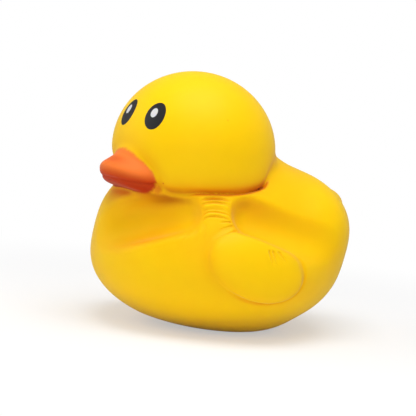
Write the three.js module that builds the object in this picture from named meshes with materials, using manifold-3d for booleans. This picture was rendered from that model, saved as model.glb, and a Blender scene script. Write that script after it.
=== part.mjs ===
// Squishy foam duck, moulded in one piece and shown as it is squeezed. Millimetres.
// The duck faces -Y, its left side is +X, and it rests on a flat base at z = 0.
// The origin is the middle of the base, under the middle of the body.
//
// The skin is the level zero of a field: negative inside, positive outside. Each bulge
// of the duck is an ellipsoid, and the bulges flow into each other over a blend length.
import * as THREE from "three";
import Module from "manifold-3d";

// Head: a dome over a flatter chin, both as wide as the head at its widest plane.
const headWidth = 105;
const headLength = 105;
const crownHeight = 49.8;
const chinDepth = 33.2;
const headHeight = 114; // from the base to the widest plane
const headForward = 24; // from the middle of the body to the middle of the head
const neckBlend = 5;

// Body: four bulges, all on the plane of symmetry. The keel is an upright one that
// carries the base.
const bellyWidth = 158;
const bellyLength = 161;
const bellyDepth = 88;
const bellyHeight = 41.5;
const bellyForward = 0.5;
const chestWidth = 116;
const chestLength = 122;
const chestDepth = 82;
const chestHeight = 68.5;
const chestForward = 18.5;
const backWidth = 132;
const backLength = 79;
const backDepth = 74;
const backHeight = 69.5;
const backRearward = 44;
const keelWidth = 96;
const keelLength = 77;
const keelDepth = 145;
const keelHeight = 55;
const keelRearward = 6;
const bodyBlend = 22;

// Tail: a short blunt lobe that turns up at the rear.
const tailWidth = 40;
const tailLength = 34;
const tailThickness = 22;
const tailHeight = 78;
const tailRearward = 82;
const tailLift = 38; // degrees
const tailBlend = 20;

// Wings: an oval pillow on each side, a little prouder at its rear end.
const wingLength = 65;
const wingHeight = 42.5;
const wingThickness = 19;
const wingLevel = 48; // from the base to the middle of the wing
const wingForward = 17.5;
const wingSpacing = 139; // between the middles of the two wings
const wingFlare = 10; // degrees that the rear end stands out
const wingLean = 13; // degrees that the top leans in
const wingPitch = 14; // degrees that the front end is raised
const wingCrease = 1.2;

// Beak: a broad upper bill with a ridge that climbs to the forehead, and a lower bill.
// The sides of both bills hang below their middle. The squeeze turns and tips the beak.
const billWidth = 40.5;
const billLength = 46;
const billThickness = 13;
const billDrop = 10.6; // below the widest plane of the head
const billForward = 43.5; // ahead of the middle of the head
const billTip = 11; // degrees that the tip turns down
const billFullness = 3; // 2 is an ellipsoid, and more is a squarer edge
const lowerBillWidth = 39;
const lowerBillLength = 45;
const lowerBillThickness = 19;
const lowerBillDrop = 16.8;
const lowerBillForward = 41.5;
const lowerBillTip = -1; // degrees
const lowerBillFullness = 2.4;
const billDroop = 6; // how far the sides hang
const ridgeWidth = 25;
const ridgeLength = 34;
const ridgeThickness = 17;
const ridgeDrop = 2.5;
const ridgeForward = 40.5;
const ridgeLift = 40; // degrees
const ridgeBlend = 8;
const mouthCrease = 0.7;
const beakBlend = 4;
const beakTurn = 2; // degrees to the duck's left
const beakTilt = -1.5; // degrees, left side up

// Eyes: painted ovals, leaning in at the top, and turned and tipped by the squeeze.
const eyeWidth = 13.2;
const eyeHeight = 18.4;
const eyeSpacing = 25.5;
const eyeRise = 20.2; // above the widest plane of the head
const eyeLean = 10; // degrees
const eyeTurn = 7.2; // degrees to the duck's left
const eyeTilt = -1.5; // degrees, left side up
const glintWidth = 4.5;
const glintHeight = 6.3;
const glintRise = 2.1;

// Press dents: two furrows below the head on the left side, pinching the foam
// between them. Each runs from its tip, beside the pinch, to its far end.
const frontDentTip = new THREE.Vector3(44.5, -61, 79);
const frontDentEnd = new THREE.Vector3(-8, -98, 61);
const rearDentTip = new THREE.Vector3(62.5, -18, 79);
const rearDentEnd = new THREE.Vector3(90, 47, 62);
const dentTipRadius = 13.2;
const dentEndRadius = 16;
const dentEdge = 4;

// Base: a flat, with the skin rolling into it.
const baseRoll = 8;
const baseTrim = 0.4; // cut off below the roll, to leave the flat

// Mesh: the spacing of the grid that the skin is worked out on, and where it is finer.
const coarseStep = 5.6;
const fineStep = 3.2;
const surround = 6; // empty space around the duck
const projections = 4; // times each point is moved onto the skin

const yellow = new THREE.Color(0xfbd002);
const orange = new THREE.Color(0xf0702a);
const black = new THREE.Color(0x2b2b2c);
const white = new THREE.Color(0xf2f2f0);

const head = new THREE.Vector3(0, -headForward, headHeight);
const level = new THREE.Matrix3();

// The three axes of a bulge, as rows: sideways, along and up, turned by an angle.
function tipped(degrees) {
  const a = THREE.MathUtils.degToRad(degrees);
  return new THREE.Matrix3().set(1, 0, 0, 0, Math.cos(a), Math.sin(a), 0, -Math.sin(a), Math.cos(a));
}

// The three axes of a wing, as rows: outwards, along and up.
function flared(flare, lean, pitch) {
  const a = THREE.MathUtils.degToRad(flare);
  const b = THREE.MathUtils.degToRad(lean);
  const upright = new THREE.Matrix3().set(
    Math.cos(a) * Math.cos(b), -Math.sin(a) * Math.cos(b), Math.sin(b),
    Math.sin(a), Math.cos(a), 0,
    -Math.cos(a) * Math.sin(b), Math.sin(a) * Math.sin(b), Math.cos(b));
  return tipped(-pitch).multiply(upright);
}

// A bulge is an ellipsoid with a middle, full sizes and axes. Its field is close to the
// true distance near the skin.
function bulge(x, y, z, width, length, depth, axes = level) {
  const middle = new THREE.Vector3(x, y, z);
  const radius = new THREE.Vector3(width / 2, length / 2, depth / 2);
  const q = new THREE.Vector3();
  return (p) => {
    q.subVectors(p, middle).applyMatrix3(axes).divide(radius);
    const reach = q.length();
    const steep = q.divide(radius).length();
    return (reach * (reach - 1)) / Math.max(steep, 1e-9);
  };
}

// A pillow is a bulge with a full edge, whose sides hang down.
function pillow(x, y, z, width, length, depth, axes, fullness, droop) {
  const middle = new THREE.Vector3(x, y, z);
  const radius = new THREE.Vector3(width / 2, length / 2, depth / 2);
  const q = new THREE.Vector3();
  return (p) => {
    q.subVectors(p, middle).applyMatrix3(axes).divide(radius);
    const flat = Math.max(Math.hypot(q.x, q.y), 1e-9);
    const lift = Math.abs(q.z + (droop * q.x * q.x) / radius.z);
    const reach = (flat ** fullness + lift ** fullness) ** (1 / fullness);
    const flatSteep = (flat / reach) ** (fullness - 1) * Math.hypot(q.x / radius.x, q.y / radius.y);
    const liftSteep = (lift / reach) ** (fullness - 1) / radius.z;
    return (reach - 1) / Math.hypot(flatSteep / flat, liftSteep);
  };
}

// Joins two fields, and rounds the corner between them over a blend length.
function blend(a, b, length) {
  const h = THREE.MathUtils.clamp(0.5 + (0.5 * (b - a)) / length, 0, 1);
  return b * (1 - h) + a * h - length * h * (1 - h);
}

// Takes field b out of field a, with a rounded edge.
function carve(a, b, edge) {
  return -blend(-a, b, edge);
}

// A furrow is the space within a radius of a straight line, like a round-ended rod.
function furrow(tip, end, tipRadius, endRadius) {
  const run = new THREE.Vector3().subVectors(end, tip);
  const q = new THREE.Vector3();
  return (p) => {
    q.subVectors(p, tip);
    const along = THREE.MathUtils.clamp(q.dot(run) / run.lengthSq(), 0, 1);
    q.addScaledVector(run, -along);
    return q.length() - THREE.MathUtils.lerp(tipRadius, endRadius, along);
  };
}

const belly = bulge(0, -bellyForward, bellyHeight, bellyWidth, bellyLength, bellyDepth);
const chest = bulge(0, -chestForward, chestHeight, chestWidth, chestLength, chestDepth);
const back = bulge(0, backRearward, backHeight, backWidth, backLength, backDepth);
const keel = bulge(0, keelRearward, keelHeight, keelWidth, keelLength, keelDepth);
const tail = bulge(0, tailRearward, tailHeight, tailWidth, tailLength, tailThickness, tipped(tailLift));
const wing = bulge(
  wingSpacing / 2, -wingForward, wingLevel, wingThickness, wingLength, wingHeight,
  flared(wingFlare, wingLean, wingPitch));
const crown = bulge(head.x, head.y, head.z, headWidth, headLength, 2 * crownHeight);
const chin = bulge(head.x, head.y, head.z, headWidth, headLength, 2 * chinDepth);
const upperBill = pillow(
  0, -billForward, -billDrop,
  billWidth, billLength, billThickness, tipped(billTip), billFullness, billDroop);
const lowerBill = pillow(
  0, -lowerBillForward, -lowerBillDrop,
  lowerBillWidth, lowerBillLength, lowerBillThickness, tipped(lowerBillTip), lowerBillFullness, billDroop);
const ridge = bulge(
  0, -ridgeForward, -ridgeDrop, ridgeWidth, ridgeLength, ridgeThickness, tipped(ridgeLift));
const frontDent = furrow(frontDentTip, frontDentEnd, dentTipRadius, dentEndRadius);
const rearDent = furrow(rearDentTip, rearDentEnd, dentTipRadius, dentEndRadius);

// A point from the middle of the head, with the turn and tilt of the squeeze taken out.
const faced = new THREE.Vector3();
const upward = new THREE.Vector3(0, 0, 1);
const rearward = new THREE.Vector3(0, 1, 0);

function onFace(p, turn, tilt) {
  faced.subVectors(p, head).applyAxisAngle(upward, -THREE.MathUtils.degToRad(turn));
  return faced.applyAxisAngle(rearward, THREE.MathUtils.degToRad(tilt));
}

function beakField(p) {
  const q = onFace(p, beakTurn, beakTilt);
  const upper = blend(upperBill(q), ridge(q), ridgeBlend);
  return blend(upper, lowerBill(q), mouthCrease);
}

const mirrored = new THREE.Vector3();

function duckField(p) {
  let skin = belly(p);
  skin = blend(skin, chest(p), bodyBlend);
  skin = blend(skin, back(p), bodyBlend);
  skin = blend(skin, keel(p), bodyBlend);
  skin = blend(skin, tail(p), tailBlend);
  mirrored.set(Math.abs(p.x), p.y, p.z);
  skin = blend(skin, wing(mirrored), wingCrease);
  skin = carve(skin, frontDent(p), dentEdge);
  skin = carve(skin, rearDent(p), dentEdge);
  skin = blend(skin, p.z > head.z ? crown(p) : chin(p), neckBlend);
  skin = blend(skin, beakField(p), beakBlend);
  return carve(skin, p.z + baseTrim, baseRoll);
}

// Grid lines from low to high, close together between fineFrom and fineTo.
function gridLines(low, high, fineFrom, fineTo) {
  const lines = [low];
  while (lines[lines.length - 1] < high) {
    const at = lines[lines.length - 1];
    const fine = at > fineFrom && at < fineTo;
    lines.push(at + (fine ? fineStep : coarseStep));
  }
  return lines;
}

function duckGrid() {
  const side = Math.max(bellyWidth, wingSpacing + 2 * wingThickness, headWidth) / 2 + surround;
  const front = Math.max(
    headForward + billForward + billLength / 2, bellyForward + bellyLength / 2) + surround;
  const rear = Math.max(
    tailRearward + tailLength / 2, backRearward + backLength / 2) + surround;
  const billFoot = head.z - lowerBillDrop - lowerBillThickness;
  const billSide = billWidth / 2 + fineStep;
  return [
    gridLines(-side, side, -billSide, billSide),
    gridLines(-front, rear, -front, head.y - headLength / 2 + lowerBillThickness),
    gridLines(-surround, head.z + crownHeight + surround, billFoot, head.z),
  ];
}

// Moves a point onto the skin, down the slope of the field.
const probe = new THREE.Vector3();
const slope = new THREE.Vector3();

function slopeAt(p) {
  const reach = 0.05;
  for (const axis of ["x", "y", "z"]) {
    probe.copy(p);
    probe[axis] += reach;
    const ahead = duckField(probe);
    probe[axis] -= 2 * reach;
    slope[axis] = (ahead - duckField(probe)) / (2 * reach);
  }
  return slope;
}

function settle(p) {
  const limit = fineStep / 2;
  for (let i = 0; i < projections; i += 1) {
    const depth = duckField(p);
    const fall = slopeAt(p);
    const step = THREE.MathUtils.clamp(depth / Math.max(fall.length(), 0.2), -limit, limit);
    p.addScaledVector(fall.normalize(), -step);
  }
  return p;
}

// The skin as a closed mesh: one point in each grid cell that the skin passes through,
// and one quad around each grid edge that it crosses.
function skinMesh() {
  const [xs, ys, zs] = duckGrid();
  const [nx, ny, nz] = [xs.length, ys.length, zs.length];
  const node = (i, j, k) => (k * ny + j) * nx + i;
  const depth = new Float64Array(nx * ny * nz);
  const p = new THREE.Vector3();
  for (let k = 0; k < nz; k += 1) {
    for (let j = 0; j < ny; j += 1) {
      for (let i = 0; i < nx; i += 1) {
        depth[node(i, j, k)] = duckField(p.set(xs[i], ys[j], zs[k]));
      }
    }
  }

  const corners = [];
  for (let c = 0; c < 8; c += 1) {
    corners.push([c & 1, (c >> 1) & 1, c >> 2]);
  }
  const edges = [];
  for (let a = 0; a < 8; a += 1) {
    for (const bit of [1, 2, 4]) {
      if (!(a & bit)) {
        edges.push([a, a | bit]);
      }
    }
  }

  const points = [];
  const pointIn = new Int32Array(nx * ny * nz).fill(-1);
  for (let k = 0; k < nz - 1; k += 1) {
    for (let j = 0; j < ny - 1; j += 1) {
      for (let i = 0; i < nx - 1; i += 1) {
        const at = corners.map(([a, b, c]) => depth[node(i + a, j + b, k + c)]);
        const sum = new THREE.Vector3();
        let crossings = 0;
        for (const [a, b] of edges) {
          if (at[a] < 0 !== at[b] < 0) {
            const share = at[a] / (at[a] - at[b]);
            const [ca, cb] = [corners[a], corners[b]];
            sum.x += THREE.MathUtils.lerp(xs[i + ca[0]], xs[i + cb[0]], share);
            sum.y += THREE.MathUtils.lerp(ys[j + ca[1]], ys[j + cb[1]], share);
            sum.z += THREE.MathUtils.lerp(zs[k + ca[2]], zs[k + cb[2]], share);
            crossings += 1;
          }
        }
        if (crossings > 0) {
          pointIn[node(i, j, k)] = points.length;
          points.push(settle(sum.divideScalar(crossings)));
        }
      }
    }
  }

  const triangles = [];
  const quad = (a, b, c, d, outward) => {
    const [q, r] = outward ? [b, d] : [d, b];
    if (points[a].distanceTo(points[c]) < points[q].distanceTo(points[r])) {
      triangles.push(a, q, c, a, c, r);
    } else {
      triangles.push(a, q, r, q, c, r);
    }
  };
  for (let k = 1; k < nz - 1; k += 1) {
    for (let j = 1; j < ny - 1; j += 1) {
      for (let i = 1; i < nx - 1; i += 1) {
        const inside = depth[node(i, j, k)] < 0;
        const cell = (a, b, c) => pointIn[node(i - a, j - b, k - c)];
        if (inside !== depth[node(i + 1, j, k)] < 0) {
          quad(cell(0, 1, 1), cell(0, 0, 1), cell(0, 0, 0), cell(0, 1, 0), inside);
        }
        if (inside !== depth[node(i, j + 1, k)] < 0) {
          quad(cell(1, 0, 1), cell(1, 0, 0), cell(0, 0, 0), cell(0, 0, 1), inside);
        }
        if (inside !== depth[node(i, j, k + 1)] < 0) {
          quad(cell(1, 1, 0), cell(0, 1, 0), cell(0, 0, 0), cell(1, 0, 0), inside);
        }
      }
    }
  }
  return {
    numProp: 3,
    vertProperties: new Float32Array(points.flatMap((q) => [q.x, q.y, q.z])),
    triVerts: new Uint32Array(triangles),
  };
}

// The block that trims the base flat at z = 0.
function trimBlock() {
  const reach = 2 * (bellyLength + backLength);
  const block = new THREE.BoxGeometry(reach, reach, 2 * surround);
  block.translate(0, 0, -surround);
  const place = block.getAttribute("position");
  const spots = new Map();
  const vertices = [];
  const merged = [];
  for (let i = 0; i < place.count; i += 1) {
    const key = [place.getX(i), place.getY(i), place.getZ(i)].join();
    if (!spots.has(key)) {
      spots.set(key, spots.size);
      vertices.push(place.getX(i), place.getY(i), place.getZ(i));
    }
    merged.push(spots.get(key));
  }
  return {
    numProp: 3,
    vertProperties: new Float32Array(vertices),
    triVerts: new Uint32Array(Array.from(block.index.array, (i) => merged[i])),
  };
}

// Whether a point lies in an oval on the head, by its size, lean and rise from the eye.
function inEye(point, width, height, rise) {
  const p = onFace(point, eyeTurn, eyeTilt);
  const lean = THREE.MathUtils.degToRad(eyeLean);
  const across = Math.abs(p.x) - eyeSpacing / 2;
  const dome = Math.sqrt(1 - (eyeRise / crownHeight) ** 2);
  const climb = (p.z - eyeRise) / dome - rise;
  const side = across * Math.cos(lean) + climb * Math.sin(lean);
  const along = climb * Math.cos(lean) - across * Math.sin(lean);
  return p.y < 0 && Math.hypot(side / (width / 2), along / (height / 2)) < 1;
}

function paintAt(p) {
  if (inEye(p, glintWidth, glintHeight, glintRise)) {
    return white;
  }
  if (inEye(p, eyeWidth, eyeHeight, 0)) {
    return black;
  }
  return beakField(p) < 1 ? orange : yellow;
}

const wasm = await Module();
wasm.setup();
const moulded = new wasm.Manifold(new wasm.Mesh(skinMesh()));
const block = new wasm.Manifold(new wasm.Mesh(trimBlock()));
const solid = moulded.subtract(block).getMesh();

const geometry = new THREE.BufferGeometry();
const positions = new THREE.BufferAttribute(new Float32Array(solid.vertProperties), 3);
geometry.setAttribute("position", positions);
geometry.setIndex(new THREE.BufferAttribute(new Uint32Array(solid.triVerts), 1));
const tints = [];
for (let i = 0; i < positions.count; i += 1) {
  tints.push(...paintAt(new THREE.Vector3().fromBufferAttribute(positions, i)).toArray());
}
geometry.setAttribute("color", new THREE.Float32BufferAttribute(tints, 3));
geometry.computeVertexNormals();

const foam = new THREE.MeshStandardMaterial({ vertexColors: true, roughness: 0.55, metalness: 0 });
const duck = new THREE.Mesh(geometry, foam);
duck.name = "duck";

const group = new THREE.Group();
group.add(duck);
export default group;
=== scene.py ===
import math
from types import SimpleNamespace

import bpy
import numpy as np
from bpy.props import FloatProperty, FloatVectorProperty, IntProperty, PointerProperty
from mathutils import Matrix, Vector


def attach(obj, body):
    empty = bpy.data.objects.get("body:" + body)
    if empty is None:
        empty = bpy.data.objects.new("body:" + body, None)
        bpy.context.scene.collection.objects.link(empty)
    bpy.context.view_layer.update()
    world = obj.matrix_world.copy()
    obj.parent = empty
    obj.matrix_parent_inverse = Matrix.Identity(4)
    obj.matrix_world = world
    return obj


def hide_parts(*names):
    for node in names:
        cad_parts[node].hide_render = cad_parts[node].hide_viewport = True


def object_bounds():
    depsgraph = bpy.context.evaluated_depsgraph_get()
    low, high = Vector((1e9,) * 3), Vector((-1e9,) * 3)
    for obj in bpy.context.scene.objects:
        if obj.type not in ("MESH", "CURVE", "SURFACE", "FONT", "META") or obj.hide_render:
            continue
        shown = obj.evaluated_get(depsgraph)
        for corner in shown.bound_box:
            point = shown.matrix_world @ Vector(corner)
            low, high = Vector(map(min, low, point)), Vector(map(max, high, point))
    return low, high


bl_info = {
    "name": "Squishy Duck",
    "version": (1, 0, 0),
    "blender": (4, 5, 0),
    "location": "3D View > Sidebar > Squishy Duck",
    "description": "Builds a squeezed foam duck with its painted face, and a plain studio",
    "category": "Add Mesh",
}

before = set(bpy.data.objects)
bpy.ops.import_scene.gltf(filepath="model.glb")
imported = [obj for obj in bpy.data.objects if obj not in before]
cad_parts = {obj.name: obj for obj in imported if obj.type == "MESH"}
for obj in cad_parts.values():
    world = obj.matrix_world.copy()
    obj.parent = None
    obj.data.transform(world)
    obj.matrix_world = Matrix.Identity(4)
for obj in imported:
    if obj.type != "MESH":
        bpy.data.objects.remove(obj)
cad_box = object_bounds()

LOWER_BILL_FULLNESS = 2.4  # how square the edge of the lower bill is: 2 is an ellipsoid
CHEEK_START = 0.5  # cosine of the way round from the squeezed side to where the cheek starts
CHEEK_RUN = 0.3  # and how much more of it there is where the cheek is full
CHEEK_NECK = 3  # millimetres that the neck blend shrinks by below the cheek
GAP_FADE = 5  # millimetres that the neck gap sinks into the head away from the cheek
GAP_EDGE = 3  # roundness of the neck gap's edge, in millimetres
FRONT_SHARE = 0.6  # how much of the wing's groove is lost at its front end
FOLD_POINTS = 9  # points along a fold
SKY_REACHES = (3.0, 9.0, 24.0, 50.0)  # millimetres out from the skin where open space is looked for
FLAT = 0.02  # millimetres off the floor below which the skin counts as the base


# Properties

def size(name, millimetres, description):
    return FloatProperty(
        name=name, description=description, default=millimetres / 1000,
        unit="LENGTH", subtype="DISTANCE")


def angle(name, degrees, description):
    return FloatProperty(
        name=name, description=description, default=math.radians(degrees),
        unit="ROTATION", subtype="ANGLE")


def count(name, number, description):
    return IntProperty(name=name, description=description, default=number, min=2)


def place(name, millimetres, description):
    return FloatVectorProperty(
        name=name, description=description, size=3,
        default=[m / 1000 for m in millimetres], unit="LENGTH", subtype="TRANSLATION")


def line(name, millimetres, description):
    """A curved line through three places."""
    return FloatVectorProperty(
        name=name, description=description, size=9,
        default=[m / 1000 for m in millimetres], unit="LENGTH")


def colour(name, rgb, description):
    return FloatVectorProperty(
        name=name, description=description, default=rgb, size=3, min=0, max=1,
        subtype="COLOR")


class HeadSizes(bpy.types.PropertyGroup):
    """The dome of the head and the flatter chin below it."""
    width: size("Width", 105, "Breadth of the head at its widest plane")
    length: size("Length", 105, "Front to rear of the head at its widest plane")
    crown: size("Crown", 49.8, "Rise of the dome above the widest plane")
    chin: size("Chin", 33.2, "Depth of the chin below the widest plane")
    height: size("Height", 114, "From the base to the widest plane")
    forward: size("Forward", 24, "How far the head sits ahead of the body's middle")
    neck: size("Neck blend", 5, "Length over which the head flows into the body")
    fullness: FloatProperty(
        name="Cheek fullness", default=3.4,
        description="How squarely the squeezed cheek turns under: 2 is an ellipsoid")
    gap: size("Neck gap", 2, "How far the squeeze draws the body back from the cheek")
    gap_depth: size("Neck gap depth", 8, "How far in under the cheek the gap closes")
    squeezed: angle("Squeezed side", 78, "Way round the head to the middle of the squeezed cheek")


class BodySizes(bpy.types.PropertyGroup):
    """The four bulges of the body and the turned-up tail."""
    belly: place("Belly", (158, 161, 88), "Width, length and depth of the belly")
    belly_at: place("Belly place", (0, -0.5, 41.5), "Middle of the belly")
    chest: place("Chest", (116, 122, 82), "Width, length and depth of the chest")
    chest_at: place("Chest place", (0, -18.5, 68.5), "Middle of the chest")
    back: place("Back", (132, 79, 74), "Width, length and depth of the back")
    back_at: place("Back place", (0, 44, 69.5), "Middle of the back")
    keel: place("Keel", (96, 77, 145), "Width, length and depth of the keel")
    keel_at: place("Keel place", (0, 6, 55), "Middle of the keel")
    blend: size("Blend", 22, "Length over which the bulges flow into each other")
    tail: place("Tail", (40, 34, 22), "Width, length and thickness of the tail")
    tail_at: place("Tail place", (0, 82, 78), "Middle of the tail")
    tail_lift: angle("Tail lift", 38, "How far the tail turns up")
    tail_blend: size("Tail blend", 20, "Length over which the tail flows into the back")
    base_roll: size("Base roll", 8, "How the skin rolls into the flat base")
    base_trim: size("Base trim", 0.4, "Cut off below the roll to leave the flat")


class WingSizes(bpy.types.PropertyGroup):
    """The oval pillow on each side."""
    length: size("Length", 65, "Front to rear of a wing")
    height: size("Height", 42.5, "Bottom to top of a wing")
    thickness: size("Thickness", 19, "How thick a wing is in all")
    level: size("Level", 48, "From the base to the middle of a wing")
    forward: size("Forward", 17.5, "How far a wing sits ahead of the body's middle")
    spacing: size("Spacing", 139, "Between the middles of the two wings")
    flare: angle("Flare", 10, "How far the rear end stands out")
    lean: angle("Lean", 13, "How far the top leans in")
    pitch: angle("Pitch", 14, "How far the front end is raised")
    crease: size("Crease", 1.2, "Roundness of the crease round a wing")
    soft: size("Soft front", 3.2, "How much rounder the crease is at the front end")
    groove: size("Groove", 0.8, "Depth of the groove round a wing")


class BeakSizes(bpy.types.PropertyGroup):
    """The upper bill, the ridge that climbs to the forehead, and the lower bill."""
    tilt: angle("Tilt", -1.5, "How far the squeeze tips the beak, left side up")
    turn: angle("Turn", 2, "How far the squeeze turns the beak, to its left")
    upper: place("Upper bill", (44, 46, 14.6), "Width, length and thickness")
    upper_at: place("Upper bill place", (0, -43.5, -11.4), "Middle, from the head's middle")
    upper_tip: angle("Upper bill tip", 11, "How far the upper bill turns down at its tip")
    fullness: FloatProperty(
        name="Fullness", description="How square the edge of the upper bill is", default=3)
    lower: place("Lower bill", (42.5, 46.5, 20.6), "Width, length and thickness")
    lower_at: place("Lower bill place", (0, -41.5, -16), "Middle, from the head's middle")
    lower_tip: angle("Lower bill tip", -1, "How far the lower bill turns down at its tip")
    droop: size("Droop", 6, "How far the sides of the bills hang below their middle")
    ridge: place("Ridge", (25, 34, 17), "Width, length and thickness")
    ridge_at: place("Ridge place", (0, -40.5, -2.5), "Middle, from the head's middle")
    ridge_tip: angle("Ridge slope", 40, "How steeply the ridge climbs")
    ridge_blend: size("Ridge blend", 8, "Length over which the ridge flows out")
    mouth: size("Mouth", 0.7, "Roundness of the crease between the bills")
    groove: size("Groove", 0.5, "Depth of the groove between the bills")
    blend: size("Blend", 4, "Length over which the beak flows into the head")


class EyeSizes(bpy.types.PropertyGroup):
    """The painted eyes and their highlights."""
    tilt: angle("Tilt", -1.5, "How far the squeeze tips the eyes, left side up")
    turn: angle("Turn", 7.2, "How far the squeeze turns the eyes, to the left")
    width: size("Width", 13.2, "Breadth of an eye")
    height: size("Height", 18.4, "Height of an eye")
    spacing: size("Spacing", 25.5, "Between the middles of the two eyes")
    rise: size("Rise", 20.2, "Above the head's widest plane")
    lean: angle("Lean", -10, "How far an eye leans out at its top")
    glint_width: size("Highlight width", 4.5, "Breadth of the painted highlight")
    glint_height: size("Highlight height", 6.3, "Height of the painted highlight")
    glint_rise: size("Highlight rise", 2.1, "Above the middle of the eye")
    glint_shift: size("Highlight shift", -1.3, "To the duck's left of the middle of the eye")


class DentSizes(bpy.types.PropertyGroup):
    """The two press dents below the head on the left side."""
    front_tip: place("Front tip", (44.5, -61, 79), "Where the front dent starts")
    front_end: place("Front end", (-8, -98, 61), "Where the front dent runs out")
    rear_tip: place("Rear tip", (62.5, -18, 79), "Where the rear dent starts")
    rear_end: place("Rear end", (90, 47, 62), "Where the rear dent runs out")
    tip_radius: size("Tip radius", 13.2, "Radius of a dent at its tip")
    end_radius: size("End radius", 16, "Radius of a dent where it runs out")
    edge: size("Edge", 6, "Roundness of a dent's edge")


class FoldSizes(bpy.types.PropertyGroup):
    """Four fans of fine folds round the pinch, each between its first and last fold."""
    neck_first: line("First neck fold", (45.7, -48.8, 84.8, 48.5, -39.1, 87.3, 53.1, -29, 86),
                     "The fold right under the head, from dent to dent")
    neck_last: line("Last neck fold", (52.4, -50, 73.1, 55, -42.5, 76, 60.3, -32, 73.5),
                    "The lowest fold across the pinch")
    neck_count: count("Neck folds", 8, "Folds across the pinch")
    neck_depth: size("Neck fold depth", 0.6, "Depth of the folds across the pinch")
    crease_first: line("First crease", (59.6, -32.1, 74, 58.7, -36, 74.2, 57.5, -40.3, 73.3),
                       "The highest crease from the rear dent's tip")
    crease_last: line("Last crease", (62.1, -30.4, 69.5, 62.2, -36.9, 66.4, 60.4, -42.7, 63),
                      "The crease from the rear dent's tip along the wing")
    crease_count: count("Creases", 4, "Creases from the rear dent's tip")
    crease_depth: size("Crease depth", 0.7, "Depth of the creases from the rear dent's tip")
    chest_first: line("First chest fold", (54, -47.4, 73.1, 55.7, -48.8, 67.8, 58, -49, 62),
                      "The fold below the pinch")
    chest_last: line("Last chest fold", (50.9, -56.2, 65.9, 50, -59.6, 61.5, 49.9, -61.8, 55.4),
                     "The fold below the front dent's tip")
    chest_count: count("Chest folds", 4, "Folds below the front dent")
    chest_depth: size("Chest fold depth", 0.25, "Depth of the folds below the front dent")
    wing_first: line("First wing fold", (75.7, -14.5, 59.9, 77.8, -14, 55.3, 79.5, -13.2, 50.1),
                     "The foremost fold on the wing")
    wing_last: line("Last wing fold", (75.9, -7.6, 59, 77.6, -5.5, 55.9, 79.3, -2.5, 52.4),
                    "The rearmost fold on the wing")
    wing_count: count("Wing folds", 5, "Folds on the wing, below the rear dent")
    wing_depth: size("Wing fold depth", 0.9, "Depth of the folds on the wing")
    breadth: size("Breadth", 0.6, "How broad a fold is")


class SkinFinish(bpy.types.PropertyGroup):
    """How fine the skin is, and its colours."""
    coarse: size("Coarse step", 2.4, "Spacing of the skin's points on plain areas")
    fine: size("Fine step", 0.9, "Spacing of the skin's points at the face and wings")
    finest: size("Finest step", 0.6, "Spacing of the skin's points at the folds")
    yellow: colour("Foam", (0.98, 0.595, 0.0), "Colour of the foam skin")
    # Painted shade: the foam darkened towards orange in its hollows and folds; also the colour of the
    # faint head speck.
    deep: colour("Foam in shade", (0.76, 0.23, 0.0), "Tint of the foam in its hollows")
    # Painted shade under the head, where it hangs over the neck.
    under_head_shade: colour("Foam under the head", (0.46, 0.12, 0.0),
                  "Tint of the foam where the head hangs over it")
    orange: colour("Beak", (0.90, 0.20, 0.03), "Colour of the beak's paint on top")
    # Painted shade on the beak's sides; also the colour of the stray paint and the cheek speck.
    red: colour("Beak side", (0.66, 0.08, 0.006), "Colour of the beak's paint at its sides")
    # Painted shade on the beak's underside and in the mouth crease.
    beak_paint_in_shade: colour("Beak underside", (0.48, 0.035, 0.003), "Colour of the beak's paint below")
    black: colour("Eye", (0.012, 0.012, 0.013), "Colour of the eyes' paint")
    white: colour("Eye highlight", (0.66, 0.66, 0.65), "Colour of the eyes' highlights")
    grain: size("Grain", 0.7, "Size of the skin's grain")
    overspray: place("Overspray", (24.0, -64.9, 89.3),
                     "Middle of the stray paint below the beak's corner")
    overspray_reach: size("Overspray reach", 4.5, "How far the stray paint spreads")
    cheek_speck: place("Cheek speck", (27.9, -63.6, 93.5), "A speck of paint beside the beak")
    head_speck: place("Head speck", (46.7, -32.8, 135.1), "A faint speck on the side of the head")
    speck: size("Speck", 0.7, "Radius of a speck")


class StudioSettings(bpy.types.PropertyGroup):
    """Where the camera stands, and the lamps."""
    azimuth: angle("Azimuth", 54.45, "Way round the duck to the camera")
    elevation: angle("Elevation", 4.956, "Camera above the horizon")
    roll: angle("Roll", 4.961, "How far the camera leans")
    distance: size("Distance", 900, "From the aim to the camera")
    aim: place("Aim", (-4.16, -5.67, 75.69), "Point in the middle of the picture")
    lens: FloatProperty(
        name="Lens", description="Focal length", default=118.91, unit="CAMERA")
    key: FloatProperty(
        name="Key lamp", description="Power of the lamp above", default=6.5, unit="POWER")
    side: FloatProperty(
        name="Side lamp", description="Power of the lamp ahead of the duck", default=5.2, unit="POWER")
    fill: FloatProperty(
        name="Fill lamp", description="Power of the lamp by the camera", default=3.0, unit="POWER")
    room: FloatProperty(
        name="Room light", description="Level of the light all round", default=0.38)


class SquishyDuck(bpy.types.PropertyGroup):
    """All the settings of the duck and its studio."""
    head: PointerProperty(type=HeadSizes)
    body: PointerProperty(type=BodySizes)
    wing: PointerProperty(type=WingSizes)
    beak: PointerProperty(type=BeakSizes)
    eye: PointerProperty(type=EyeSizes)
    dent: PointerProperty(type=DentSizes)
    fold: PointerProperty(type=FoldSizes)
    skin: PointerProperty(type=SkinFinish)
    studio: PointerProperty(type=StudioSettings)


def in_millimetres(group):
    """A property group's values, its lengths in millimetres and its vectors as arrays."""
    values = {}
    for name, prop in group.bl_rna.properties.items():
        if name in ("rna_type", "name"):
            continue
        value = getattr(group, name)
        if prop.type not in ("FLOAT", "INT"):
            continue
        if prop.is_array:
            value = np.array(value)
        values[name] = value * 1000 if prop.type == "FLOAT" and prop.unit == "LENGTH" else value
    return SimpleNamespace(**values)


# Shape of the duck

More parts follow.
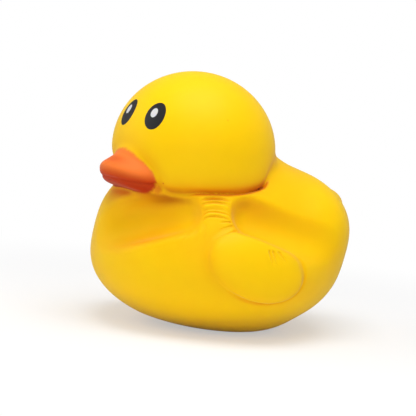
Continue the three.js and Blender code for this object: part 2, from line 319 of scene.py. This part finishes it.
def tipped(turn):
    """The axes of a bulge turned up at the rear, as rows."""
    c, s = math.cos(turn), math.sin(turn)
    return np.array([[1, 0, 0], [0, c, s], [0, -s, c]])


def flared(flare, lean, pitch):
    """The axes of a wing: outwards, along and up, as rows."""
    c, s = math.cos(flare), math.sin(flare)
    cl, sl = math.cos(lean), math.sin(lean)
    cp, sp = math.cos(pitch), math.sin(pitch)
    out = np.array([c * cl, -s * cl, sl])
    along, up = np.array([s, c, 0]), np.array([-c * sl, s * sl, cl])
    return np.array([out, along * cp - up * sp, up * cp + along * sp])


def bulge(points, middle, sizes, axes=None):
    """Field of an ellipsoid: negative inside, and close to the distance near its skin."""
    q = points - middle
    if axes is not None:
        q = q @ axes.T
    radius = np.asarray(sizes) / 2
    q = q / radius
    reach = np.sqrt((q * q).sum(-1))
    q /= radius
    return reach * (reach - 1) / (np.sqrt((q * q).sum(-1)) + 1e-9)


def blend(a, b, length):
    """Joins two fields, and rounds the corner between them."""
    h = np.clip(0.5 + 0.5 * (b - a) / length, 0, 1)
    return b * (1 - h) + a * h - length * h * (1 - h)


def carve(a, b, edge):
    """Takes field b out of field a, with a rounded edge."""
    return -blend(-a, b, edge)


def furrow(points, tip, end, tip_radius, end_radius):
    """Field of a round-ended rod from tip to end."""
    run = end - tip
    along = np.clip((points - tip) @ run / (run @ run), 0, 1)
    q = points - tip - along[..., None] * run
    return np.sqrt((q * q).sum(-1)) - (tip_radius + (end_radius - tip_radius) * along)


def pillow(points, middle, sizes, turn, power, droop):
    """Field of an oval pillow with a full edge, whose sides hang down."""
    q = (points - middle) @ tipped(turn).T
    x, y, z = (q / (np.asarray(sizes) / 2)).T
    z = z + droop * x * x / (sizes[2] / 2)
    flat = np.hypot(x, y) + 1e-9
    lift = np.abs(z) + 1e-9
    reach = (flat ** power + lift ** power) ** (1 / power)
    flat_steep = np.hypot(2 * x / sizes[0], 2 * y / sizes[1]) / flat * (flat / reach) ** (power - 1)
    lift_steep = 2 / sizes[2] * (lift / reach) ** (power - 1)
    return (reach - 1) / np.hypot(flat_steep, lift_steep)


class DuckShape:
    """The duck as a field, from its sizes in millimetres."""

    def __init__(self, duck):
        for name in ("head", "body", "wing", "beak", "eye", "dent", "fold"):
            setattr(self, name, in_millimetres(getattr(duck, name)))
        self.centre = np.array([0, -self.head.forward, self.head.height])
        self.folds = self.lay_folds()

    def on_face(self, points, tilt, turn):
        """Points from the head's middle, with the squeeze's tilt and turn taken out."""
        c, s = math.cos(tilt), math.sin(tilt)
        ct, st = math.cos(turn), math.sin(turn)
        x, y, z = (points - self.centre).T
        x, y = x * ct + y * st, y * ct - x * st
        return np.stack([x * c + z * s, y, z * c - x * s], -1)

    def bills(self, points):
        """Fields of the upper bill with its ridge, and of the lower bill."""
        b = self.beak
        q = self.on_face(points, b.tilt, b.turn)
        upper = pillow(q, b.upper_at, b.upper, b.upper_tip, b.fullness, b.droop)
        ridge = bulge(q, b.ridge_at, b.ridge, tipped(b.ridge_tip))
        lower = pillow(q, b.lower_at, b.lower, b.lower_tip,
                       LOWER_BILL_FULLNESS, b.droop)
        return blend(upper, ridge, b.ridge_blend), lower

    def beak_side(self, points):
        """Height above the edge of the upper bill, square to it."""
        b = self.beak
        q = (self.on_face(points, b.tilt, b.turn) - b.upper_at) @ tipped(b.upper_tip).T
        return q[:, 2] + b.droop * (2 * q[:, 0] / b.upper[0]) ** 2

    def mouth_shade(self, points):
        """1 on the line between the bills, fading to 0 beside it; the paint is darkened there as
        painted shade.
        """
        upper, lower = self.bills(points)
        return np.exp(-((upper - lower) / (1.5 * self.beak.mouth)) ** 2)

    def beak_field(self, points):
        upper, lower = self.bills(points)
        groove = np.exp(-((upper - lower) / self.beak.mouth) ** 2)
        return blend(upper, lower, self.beak.mouth) + self.beak.groove * groove

    def wing_field(self, points):
        w = self.wing
        q = np.stack([np.abs(points[..., 0]), points[..., 1], points[..., 2]], -1)
        middle = np.array([w.spacing / 2, -w.forward, w.level])
        sizes = (w.thickness, w.length, w.height)
        axes = flared(w.flare, w.lean, w.pitch)
        along = (q - middle) @ axes[1] / (w.length / 2)
        return bulge(q, middle, sizes, axes), np.clip(-0.1 - along, 0, 0.7) / 0.7

    def body_field(self, points):
        b = self.body
        skin = bulge(points, b.belly_at, b.belly)
        skin = blend(skin, bulge(points, b.chest_at, b.chest), b.blend)
        skin = blend(skin, bulge(points, b.back_at, b.back), b.blend)
        skin = blend(skin, bulge(points, b.keel_at, b.keel), b.blend)
        tail = bulge(points, b.tail_at, b.tail, tipped(b.tail_lift))
        return blend(skin, tail, b.tail_blend)

    def head_field(self, points):
        """Field of the head, and how much of the squeezed cheek each point is at."""
        h = self.head
        crown = bulge(points, self.centre, (h.width, h.length, 2 * h.crown))
        chin_sizes = (h.width, h.length, 2 * h.chin)
        chin = bulge(points, self.centre, chin_sizes)
        full = pillow(points, self.centre, chin_sizes, 0, h.fullness, 0)
        x, y, z = (points - self.centre).T
        facing = (x * math.sin(h.squeezed) - y * math.cos(h.squeezed)) / (np.hypot(x, y) + 1e-6)
        cheek = np.clip((facing - CHEEK_START) / CHEEK_RUN, 0, 1)
        cheek = cheek * cheek * (3 - 2 * cheek)
        return np.where(z > 0, crown, chin + (full - chin) * cheek), cheek

    def smooth_field(self, points):
        """The duck without its fine folds."""
        d = self.dent
        w = self.wing
        body, (wing, front) = self.body_field(points), self.wing_field(points)
        meeting = np.exp(-(body * body + wing * wing) / w.crease ** 2)
        groove = w.groove * (1 - FRONT_SHARE * front) * meeting
        skin = blend(body, wing, w.crease + w.soft * front) + groove
        for tip, end in ((d.front_tip, d.front_end), (d.rear_tip, d.rear_end)):
            skin = carve(skin, furrow(points, tip, end, d.tip_radius, d.end_radius), d.edge)
        h = self.head
        head, cheek = self.head_field(points)
        x, y, z = (points - self.centre).T
        inwards = np.clip(h.width / 2 - np.hypot(x, y), 0, None) / h.gap_depth
        skin = carve(skin, head - h.gap * cheek * cheek * (1 - inwards) + GAP_FADE * (1 - cheek),
                     GAP_EDGE)
        skin = blend(skin, head, h.neck - CHEEK_NECK * cheek)
        skin = blend(skin, self.beak_field(points), self.beak.blend)
        return carve(skin, points[..., 2] + self.body.base_trim, self.body.base_roll)

    def lay_folds(self):
        """The fine folds, as points along each on the skin, with their depths."""
        f = self.fold
        # each fan: its first and last fold, how many, how deep, and how much deeper and
        # broader its first fold is than its last
        fans = ((f.neck_first, f.neck_last, f.neck_count, f.neck_depth, 1.0, 0.7),
                (f.crease_first, f.crease_last, f.crease_count, f.crease_depth, 0.0, 0.0),
                (f.chest_first, f.chest_last, f.chest_count, f.chest_depth, 0.0, 1.5),
                (f.wing_first, f.wing_last, f.wing_count, f.wing_depth, 0.0, 0.4))
        folds = []
        for first, last, number, depth, deeper, broader in fans:
            for i in range(number):
                share = (i + 0.35 * math.sin(2.4 * i)) / (number - 1)
                a, b, c = (first + (last - first) * share).reshape(3, 3)
                t = np.linspace(0, 1, FOLD_POINTS)[:, None]
                b = 2 * b - (a + c) / 2
                path = settle(self.smooth_field, a * (1 - t) ** 2 + 2 * b * t * (1 - t) + c * t * t, 3)
                uneven = 1 + 0.45 * math.sin(5.1 * i + 1)
                folds.append(SimpleNamespace(
                    path=path, depth=depth * uneven * (1 + deeper * (1 - share)),
                    breadth=f.breadth * (1 + broader * (1 - share)), fades_both_ways=deeper > 0))
        return folds

    def sink(self, points):
        """How far the fine folds push each point of the skin in."""
        out = np.zeros(len(points))
        for fold in self.folds:
            reach = 5 * fold.breadth
            low, high = fold.path.min(0) - reach, fold.path.max(0) + reach
            near = np.flatnonzero(((points > low) & (points < high)).all(1))
            p = points[near]
            best, at = np.full(len(p), 1e3), np.zeros(len(p))
            steps = len(fold.path) - 1
            for i in range(steps):
                run = fold.path[i + 1] - fold.path[i]
                along = np.clip((p - fold.path[i]) @ run / (run @ run), 0, 1)
                away = np.linalg.norm(p - fold.path[i] - along[:, None] * run, axis=1)
                at = np.where(away < best, (i + along) / steps, at)
                best = np.minimum(best, away)
            r = best / fold.breadth
            ends = np.clip(6 * at, 0, 1) * (1 - at) ** 0.7
            if fold.fades_both_ways:
                ends = np.sin(np.pi * at) ** 0.8
            out[near] += fold.depth * ends * (1 - 0.5 * r * r) * np.exp(-0.5 * r * r)
        return out

    def oval(self, points, width, height, rise=0, shift=0):
        """Distance outside a painted oval of the eyes, measured on the face."""
        e = self.eye
        x, y, z = self.on_face(points, e.tilt, e.turn).T
        dome = math.sqrt(1 - (e.rise / self.head.crown) ** 2)
        across = np.abs(x) - e.spacing / 2 - np.sign(x) * shift
        climb = (z - e.rise) / dome - rise
        c, s = math.cos(e.lean), math.sin(e.lean)
        side, along = across * c - climb * s, across * s + climb * c
        reach = np.hypot(side / (width / 2), along / (height / 2))
        away = (reach - 1) * np.minimum(width, height) / 2
        return np.where(y < 0, away, 50.0)


# Mesh of the skin

def slope(field, points, reach=0.05):
    """The field's gradient at each point."""
    out = np.empty_like(points)
    for axis in range(3):
        step = np.zeros(3)
        step[axis] = reach
        out[:, axis] = (field(points + step) - field(points - step)) / (2 * reach)
    return out


def settle(field, points, limit, rounds=3):
    """Moves points onto the skin, down the field's slope."""
    for _ in range(rounds):
        fall = slope(field, points)
        steep = np.sqrt((fall * fall).sum(-1))
        step = np.clip(field(points) / np.maximum(steep, 0.2), -limit, limit)
        points = points - fall / np.maximum(steep, 1e-6)[:, None] * step[:, None]
    return points


def skin_net(field, low, high, step):
    """A closed triangle mesh: one point in each grid cell that the skin passes through."""
    lines = [np.arange(a, b + step, step) for a, b in zip(low, high)]
    n = [len(line) for line in lines]
    grid = np.stack(np.meshgrid(*lines, indexing="ij"), -1)
    depth = np.concatenate([field(layer.reshape(-1, 3)) for layer in grid]).reshape(n)
    inside = depth < 0

    total = np.zeros([n[0] - 1, n[1] - 1, n[2] - 1, 3])
    hits = np.zeros([n[0] - 1, n[1] - 1, n[2] - 1])
    crossed = []
    for axis in range(3):
        near = [slice(None)] * 3
        far = [slice(None)] * 3
        near[axis], far[axis] = slice(0, -1), slice(1, None)
        near, far = tuple(near), tuple(far)
        cross = inside[near] != inside[far]
        crossed.append((cross, inside[near]))
        gap = np.where(cross, depth[near] - depth[far], 1)
        spot = grid[near] + (grid[far] - grid[near]) * (depth[near] / gap)[..., None]
        spot = np.where(cross[..., None], spot, 0)
        others = [a for a in range(3) if a != axis]
        for i in (0, 1):
            for j in (0, 1):
                pick = [slice(None)] * 3
                pick[others[0]] = slice(i, n[others[0]] - 1 + i)
                pick[others[1]] = slice(j, n[others[1]] - 1 + j)
                pick = tuple(pick)
                total += spot[pick]
                hits += cross[pick]
    cells = np.full(hits.shape, -1)
    cells[hits > 0] = np.arange((hits > 0).sum())
    points = total[hits > 0] / hits[hits > 0][:, None]

    triangles = []
    for axis, (cross, outward) in enumerate(crossed):
        one, two = [a for a in (1, 2, 0, 1)[axis:axis + 2]]
        trimmed = [slice(1, -1)] * 3
        trimmed[axis] = slice(None)
        at = np.argwhere(cross[tuple(trimmed)])
        at[:, one] += 1
        at[:, two] += 1
        out = outward[tuple(at.T)]
        ring = []
        for i, j in ((1, 1), (0, 1), (0, 0), (1, 0)):
            cell = at.copy()
            cell[:, one] -= i
            cell[:, two] -= j
            ring.append(cells[tuple(cell.T)])
        a, b, c, d = ring
        b, d = np.where(out, b, d), np.where(out, d, b)
        one_way = np.linalg.norm(points[a] - points[c], axis=1)
        other_way = np.linalg.norm(points[b] - points[d], axis=1)
        short = one_way < other_way
        triangles.append(np.stack([a, b, np.where(short, c, d)], 1))
        triangles.append(np.stack([np.where(short, a, b), c, d], 1))
    return points, np.concatenate(triangles)


def halve_long_edges(points, triangles, wanted):
    """Splits each edge that is longer than the wanted spacing at its middle."""
    sides = np.stack([triangles, np.roll(triangles, -1, 1)], -1)
    low, high = sides.min(-1), sides.max(-1)
    keys, back = np.unique(low * len(points) + high, return_inverse=True)
    ends = np.stack([keys // len(points), keys % len(points)], -1)
    middles = points[ends].mean(1)
    lengths = np.linalg.norm(points[ends[:, 0]] - points[ends[:, 1]], axis=1)
    long = lengths > wanted(middles)
    fresh = np.full(len(keys), -1)
    fresh[long] = len(points) + np.arange(long.sum())
    points = np.concatenate([points, middles[long]])
    mid = fresh[back.reshape(triangles.shape)]
    marks = (mid >= 0).astype(int)
    kind = marks.sum(1)

    out = [triangles[kind == 0]]
    for turn in range(3):
        t, m = np.roll(triangles, -turn, 1), np.roll(mid, -turn, 1)
        one = (kind == 1) & (m[:, 0] >= 0)
        a, b, c, ab = *t[one].T, m[one, 0]
        out += [np.stack([a, ab, c], 1), np.stack([ab, b, c], 1)]
        two = (kind == 2) & (m[:, 2] < 0)
        a, b, c, ab, bc = *t[two].T, m[two, 0], m[two, 1]
        out += [np.stack([ab, b, bc], 1)]
        one_way = np.linalg.norm(points[a] - points[bc], axis=1)
        other_way = np.linalg.norm(points[ab] - points[c], axis=1)
        flat = one_way < other_way
        out += [np.stack([a, ab, np.where(flat, bc, c)], 1),
                np.stack([np.where(flat, a, ab), bc, c], 1)]
    three = kind == 3
    a, b, c = triangles[three].T
    ab, bc, ca = mid[three].T
    out += [np.stack(s, 1) for s in ((a, ab, ca), (ab, b, bc), (ca, bc, c), (ab, bc, ca))]
    return points, np.concatenate(out)


def make_mesh(name, points, triangles, normals, values):
    """A smooth mesh in metres, with its values kept at its points."""
    mesh = bpy.data.meshes.new(name)
    mesh.vertices.add(len(points))
    mesh.vertices.foreach_set("co", (points / 1000).astype(np.float32).ravel())
    mesh.loops.add(triangles.size)
    mesh.loops.foreach_set("vertex_index", triangles.astype(np.int32).ravel())
    mesh.polygons.add(len(triangles))
    mesh.polygons.foreach_set("loop_start", np.arange(0, triangles.size, 3, dtype=np.int32))
    mesh.update(calc_edges=True)
    mesh.validate()
    mesh.shade_smooth()
    mesh.normals_split_custom_set_from_vertices(normals)
    for key, value in values.items():
        kept = mesh.attributes.new(key, "FLOAT", "POINT")
        kept.data.foreach_set("value", value.astype(np.float32))
    thing = bpy.data.objects.new(name, mesh)
    bpy.context.scene.collection.objects.link(thing)
    return thing


# Shader sums

class Channel:
    """A socket that takes part in sums."""

    def __init__(self, shader, socket):
        self.shader = shader
        self.socket = socket

    def sum(self, operation, first, second=0.0):
        return self.shader.node("ShaderNodeMath", {"operation": operation}, {0: first, 1: second})

    def __add__(self, other):
        return self.sum("ADD", self, other)

    def __radd__(self, other):
        return self.sum("ADD", other, self)

    def __sub__(self, other):
        return self.sum("SUBTRACT", self, other)

    def __rsub__(self, other):
        return self.sum("SUBTRACT", other, self)

    def __mul__(self, other):
        return self.sum("MULTIPLY", self, other)

    def __rmul__(self, other):
        return self.sum("MULTIPLY", other, self)


class Shader:
    """A material's node tree, filled one node at a time."""

    def __init__(self, name, tree=None):
        self.material = None
        if tree is None:
            self.material = bpy.data.materials.new(name)
            self.material.use_nodes = True
            tree = self.material.node_tree
        self.tree = tree
        self.tree.nodes.clear()

    def node(self, kind, settings=None, inputs=None, output=0):
        """Adds a node, sets it up, feeds its sockets, and gives one of its outputs."""
        made = self.tree.nodes.new(kind)
        for name, value in (settings or {}).items():
            setattr(made, name, value)
        for name, value in (inputs or {}).items():
            if isinstance(value, Channel):
                self.tree.links.new(value.socket, made.inputs[name])
            elif made.inputs[name].type == "RGBA" and len(value) == 3:
                made.inputs[name].default_value = (*value, 1)
            else:
                made.inputs[name].default_value = value
        return Channel(self, made.outputs[output]) if made.outputs else made

    def ramp(self, value, low, high, first=0.0, last=1.0):
        """Runs smoothly from first to last while the value goes from low to high."""
        return self.node(
            "ShaderNodeMapRange", {"interpolation_type": "SMOOTHSTEP"},
            {"Value": value, "From Min": low, "From Max": high, "To Min": first, "To Max": last})

    def mix(self, factor, one, two, blend_type="MIX"):
        """Mixes two colours."""
        return self.node(
            "ShaderNodeMix", {"data_type": "RGBA", "blend_type": blend_type},
            {0: factor, 6: one, 7: two}, output=2)

    def noise(self, where, size_mm, detail=2.0, roughness=0.5):
        """Noise from 0 to 1 with features of a real size."""
        return self.node(
            "ShaderNodeTexNoise", None,
            {"Vector": where, "Scale": 1000 / size_mm, "Detail": detail, "Roughness": roughness})

    def away(self, where, spot):
        """Distance from a spot, in metres."""
        return self.node(
            "ShaderNodeVectorMath", {"operation": "DISTANCE"}, {0: where, 1: spot}, output="Value")

    def stored(self, name):
        """A value kept at the mesh's points."""
        return self.node("ShaderNodeAttribute", {"attribute_name": name}, output="Fac")


def foam_material(skin):
    """Foam skin with the painted beak and eyes as fields of colour, and painted shade in its hollows,
    under the head and on the beak's sides, underside and mouth crease.
    """
    s = Shader("foam_skin")
    where = s.node("ShaderNodeTexCoord", output="Object")
    soft = s.noise(where, 42, 2.0)
    mottle = s.noise(where, 6, 3.0)
    grain = s.noise(where, skin.grain * 1000, 2.0, 0.6)
    spray = s.noise(where, 1.1, 2.0, 0.7)

    # Painted shade: the foam darkens in its hollows and folds.
    hollow_shade = s.stored("hollow_shade")
    foam = s.mix(hollow_shade, skin.yellow, skin.deep)
    # Painted shade under the head's overhang.
    foam = s.mix(s.stored("under") * 0.9, foam, skin.under_head_shade)
    tone = 0.97 + soft * 0.04 + mottle * 0.02
    grey = s.node("ShaderNodeCombineColor", None, {0: tone, 1: tone, 2: tone})
    foam = s.mix(1.0, foam, grey, "MULTIPLY")

    beak_edge = s.stored("beak_edge") + (spray - 0.5) * 0.8 + (mottle - 0.5) * 0.8
    beak = s.ramp(beak_edge, 1.5, 0.3)
    # The beak's paint, darkened as painted shade on its sides and underside.
    side = s.stored("beak_side")
    orange = s.mix(s.ramp(side, 4.2, -2.4), skin.orange, skin.red)
    orange = s.mix(s.ramp(side, -1.0, -7.0), orange, skin.beak_paint_in_shade)
    # Painted shade in the mouth crease.
    orange = s.mix(s.stored("mouth_shade") * 0.75, orange, skin.beak_paint_in_shade)
    stray = s.ramp(s.away(where, skin.overspray) + (spray - 0.5) * 0.003, skin.overspray_reach, 0.001)
    foam = s.mix(stray * 0.55, foam, skin.red)
    speck = s.ramp(s.away(where, skin.cheek_speck), skin.speck * 1.3, skin.speck * 0.5) * 0.6
    foam = s.mix(speck, foam, skin.red)
    speck = s.ramp(s.away(where, skin.head_speck), skin.speck * 1.3, skin.speck * 0.5) * 0.25
    foam = s.mix(speck, foam, skin.deep)
    paint = s.mix(beak, foam, orange)
    eye = s.ramp(s.stored("eye_edge") + (spray - 0.5) * 0.15, 0.12, -0.12)
    paint = s.mix(eye, paint, skin.black)
    glint = s.ramp(s.stored("glint_edge") + (spray - 0.5) * 0.2, 0.15, -0.15)
    paint = s.mix(glint, paint, skin.white)

    rough = 0.44 + mottle * 0.06 + beak * 0.06 - eye * 0.06
    height = grain * 0.03 + mottle * 0.04 + soft * 0.1
    bump = s.node("ShaderNodeBump", None, {"Strength": 0.6, "Distance": 0.001, "Height": height})
    shell = s.node(
        "ShaderNodeBsdfPrincipled", None,
        {"Base Color": paint, "Roughness": rough, "Normal": bump,
         "Subsurface Weight": 0.12, "Subsurface Radius": (1.0, 0.35, 0.05),
         "Subsurface Scale": 0.004, "IOR": 1.45, "Specular IOR Level": 0.13,
         "Coat Weight": eye * 0.5, "Coat Roughness": 0.45,
         "Sheen Weight": 0.14, "Sheen Roughness": 0.35, "Sheen Tint": (1, 1, 1)})
    s.node("ShaderNodeOutputMaterial", None, {"Surface": shell})
    return s.material


# Operators

class BuildDuck(bpy.types.Operator):
    """Build the foam duck with its dents, folds and painted face."""
    bl_idname = "squishy_duck.build_duck"
    bl_label = "Build duck"

    def execute(self, context):
        duck = context.scene.squishy_duck
        shape = DuckShape(duck)
        skin = in_millimetres(duck.skin)
        low, high = (np.array(c) * 1000 for c in cad_box)
        points, triangles = self.skin_points(shape, skin, low, high)
        fall = slope(shape.smooth_field, points, 0.08)
        fall /= np.linalg.norm(fall, axis=1)[:, None]
        sunk = shape.sink(points)
        normals = fall + slope(shape.sink, points, 0.08)
        normals /= np.linalg.norm(normals, axis=1)[:, None]
        normals = np.where(points[:, 2:] <= 0, [[0.0, 0.0, -1.0]], normals)
        values = self.paint_values(shape, points, fall, sunk)
        points = points - fall * sunk[:, None]
        thing = make_mesh("foam_duck", points, triangles, normals, values)
        thing.data.materials.append(foam_material(duck.skin))
        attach(thing, "root")
        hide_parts("duck")
        return {"FINISHED"}

    def skin_points(self, shape, skin, low, high):
        """The skin's points and triangles, finer at the face, wings, neck and folds."""
        margin = 3 * skin.coarse
        field = shape.smooth_field
        points, triangles = skin_net(field, low - margin, high + margin, skin.coarse)
        points = settle(field, points, skin.coarse)
        paths = np.concatenate([fold.path for fold in shape.folds])

        def wanted(p):
            beak = shape.beak_field(p)
            eye = shape.oval(p, shape.eye.width, shape.eye.height)
            wing = np.hypot(shape.body_field(p), shape.wing_field(p)[0])
            neck = np.hypot(shape.body_field(p), shape.head_field(p)[0])
            near = np.minimum(np.minimum(beak - 2, eye - 2), np.minimum(wing - 3, neck - 5))
            length = np.interp(near, [0, 12], [skin.fine * 1.4, skin.coarse * 1.9])
            fold = np.full(len(p), 1e3)
            for spot in paths[::2]:
                fold = np.minimum(fold, np.linalg.norm(p - spot, axis=1))
            return np.minimum(length, np.interp(fold, [2.5, 10], [skin.finest, skin.coarse * 1.9]))

        for _ in range(4):
            before = len(points)
            points, triangles = halve_long_edges(points, triangles, wanted)
            points[before:] = settle(field, points[before:], skin.coarse / 2)
        points[:, 2] = np.maximum(points[:, 2], 0)
        points[:, 2] = np.where(points[:, 2] < FLAT, 0, points[:, 2])
        return points, triangles

    def paint_values(self, shape, points, fall, sunk):
        """What the material reads at each point: shade, and distances from painted edges."""
        # Painted shade in hollows: how shut in each point is, from the open space along its normal,
        # plus the depth of the fine folds; less of it beside the beak.
        open_sky = np.zeros(len(points))
        for reach in SKY_REACHES:
            open_sky += np.clip(shape.smooth_field(points + fall * reach) / reach, 0, 1) / 4
        # Painted shade under the head: points that face down, close below the head, towards the front.
        height = points[:, 2]
        below = np.clip((-fall[:, 2] - 0.15) / 0.35, 0, 1) * np.clip((92 - height) / 6, 0, 1)
        under = np.exp(-(np.clip(shape.head_field(points)[0], 0, None) / 12) ** 2) * below
        under *= np.clip((height - 74) / 8, 0, 1) * np.clip((10 - points[:, 1]) / 30, 0, 1)
        beside = np.exp(-np.clip(shape.beak_field(points), 0, None) / 10)
        beside *= np.clip((height - shape.head.height + 24) / 8, 0, 1)
        hollow_shade = np.clip((0.95 - open_sky) * 1.7 + sunk * 0.35, 0, 1) ** 1.3
        return {
            "hollow_shade": hollow_shade * (1 - 0.85 * beside),
            "under": under,
            "beak_side": shape.beak_side(points),
            "beak_edge": shape.beak_field(points),
            "mouth_shade": shape.mouth_shade(points),
            "eye_edge": shape.oval(points, shape.eye.width, shape.eye.height),
            "glint_edge": shape.oval(
                points, shape.eye.glint_width, shape.eye.glint_height,
                shape.eye.glint_rise, shape.eye.glint_shift),
        }


class BuildStudio(bpy.types.Operator):
    """Set up the pale floor, the soft lamps and the camera."""
    bl_idname = "squishy_duck.build_studio"
    bl_label = "Build studio"

    def execute(self, context):
        scene = context.scene
        studio = scene.squishy_duck.studio
        self.floor()
        self.room(scene, studio)
        self.lamp("key_lamp", (0.2, -0.1, 0.9), (0, 0, 0.07), 0.7, studio.key)
        self.lamp("side_lamp", (-0.8, -1.1, 0.6), (0, 0, 0.07), 1.2, studio.side)
        self.lamp("fill_lamp", (1.1, -0.7, 0.4), (0, 0, 0.07), 1.2, studio.fill)
        self.camera(scene, studio)
        scene.view_settings.view_transform = "Standard"
        return {"FINISHED"}

    def floor(self):
        reach = 3.0
        mesh = bpy.data.meshes.new("floor")
        corners = [(-reach, -reach, -0.0003), (reach, -reach, -0.0003),
                   (reach, reach, -0.0003), (-reach, reach, -0.0003)]
        mesh.from_pydata(corners, [], [(0, 1, 2, 3)])
        floor = bpy.data.objects.new("floor", mesh)
        bpy.context.scene.collection.objects.link(floor)
        s = Shader("floor_paper")
        where = s.node("ShaderNodeTexCoord", output="Object")
        far = s.node("ShaderNodeVectorMath", {"operation": "LENGTH"}, {0: where}, output="Value")
        camera = s.node("ShaderNodeLightPath", output="Is Camera Ray")
        glossy = s.node("ShaderNodeLightPath", output="Is Glossy Ray")
        tone = s.mix(glossy, (0.9, 0.9, 0.9), (0.2, 0.2, 0.2))
        paper = s.node("ShaderNodeBsdfDiffuse", None, {"Color": tone})
        white = s.node("ShaderNodeEmission", None, {"Color": (1, 1, 1), "Strength": 1.0})
        fade = s.ramp(far, 0.12, 0.45, 0.45, 1.0) * camera
        surface = s.node("ShaderNodeMixShader", None, {0: fade, 1: paper, 2: white})
        s.node("ShaderNodeOutputMaterial", None, {"Surface": surface})
        mesh.materials.append(s.material)

    def room(self, scene, studio):
        scene.world = bpy.data.worlds.new("studio_room")
        scene.world.use_nodes = True
        s = Shader("studio_room", scene.world.node_tree)
        seen = s.node("ShaderNodeLightPath", output="Is Camera Ray")
        glossy = s.node("ShaderNodeLightPath", output="Is Glossy Ray")
        level = seen + (1 - seen) * studio.room * (1 - 0.7 * glossy)
        light = s.node("ShaderNodeBackground", None, {"Color": (1, 1, 1), "Strength": level})
        s.node("ShaderNodeOutputWorld", None, {"Surface": light})

    def lamp(self, name, at, aim, breadth, power):
        data = bpy.data.lights.new(name, "AREA")
        data.shape = "SQUARE"
        data.size = breadth
        data.energy = power
        lamp = bpy.data.objects.new(name, data)
        lamp.location = at
        lamp.rotation_euler = (Vector(aim) - Vector(at)).to_track_quat("-Z", "Y").to_euler()
        bpy.context.scene.collection.objects.link(lamp)

    def camera(self, scene, studio):
        a, e, r = studio.azimuth, studio.elevation, studio.roll
        back = Vector((math.sin(a) * math.cos(e), -math.cos(a) * math.cos(e), math.sin(e)))
        right = Vector((math.cos(a), math.sin(a), 0))
        up = back.cross(right)
        right, up = right * math.cos(r) + up * math.sin(r), up * math.cos(r) - right * math.sin(r)
        data = bpy.data.cameras.new("camera")
        data.lens = studio.lens
        data.sensor_width = 36
        data.clip_start = 0.05
        camera = bpy.data.objects.new("camera", data)
        turn = Matrix((right, up, back)).transposed().to_4x4()
        camera.matrix_world = Matrix.Translation(Vector(studio.aim) + back * studio.distance) @ turn
        scene.collection.objects.link(camera)
        scene.camera = camera


class DuckPanel(bpy.types.Panel):
    """Lists the duck's operators."""
    bl_idname = "VIEW3D_PT_squishy_duck"
    bl_label = "Squishy Duck"
    bl_space_type = "VIEW_3D"
    bl_region_type = "UI"
    bl_category = "Squishy Duck"

    def draw(self, context):
        duck = context.scene.squishy_duck
        for operator in STEPS:
            self.layout.operator(operator.bl_idname)
        for name in ("head", "body", "wing", "beak", "eye", "dent", "fold", "skin", "studio"):
            group = getattr(duck, name)
            box = self.layout.box()
            box.label(text=name.title())
            for key in group.bl_rna.properties.keys():
                if key not in ("rna_type", "name"):
                    box.prop(group, key)


GROUPS = (HeadSizes, BodySizes, WingSizes, BeakSizes, EyeSizes, DentSizes, FoldSizes, SkinFinish,
          StudioSettings, SquishyDuck)
STEPS = (BuildDuck, BuildStudio)


def register():
    for item in (*GROUPS, *STEPS, DuckPanel):
        bpy.utils.register_class(item)
    bpy.types.Scene.squishy_duck = PointerProperty(type=SquishyDuck)


def unregister():
    del bpy.types.Scene.squishy_duck
    for item in reversed((*GROUPS, *STEPS, DuckPanel)):
        bpy.utils.unregister_class(item)


def main():
    register()
    for step in STEPS:
        module, name = step.bl_idname.split(".")
        getattr(getattr(bpy.ops, module), name)()


if __name__ == "__main__":
    main()
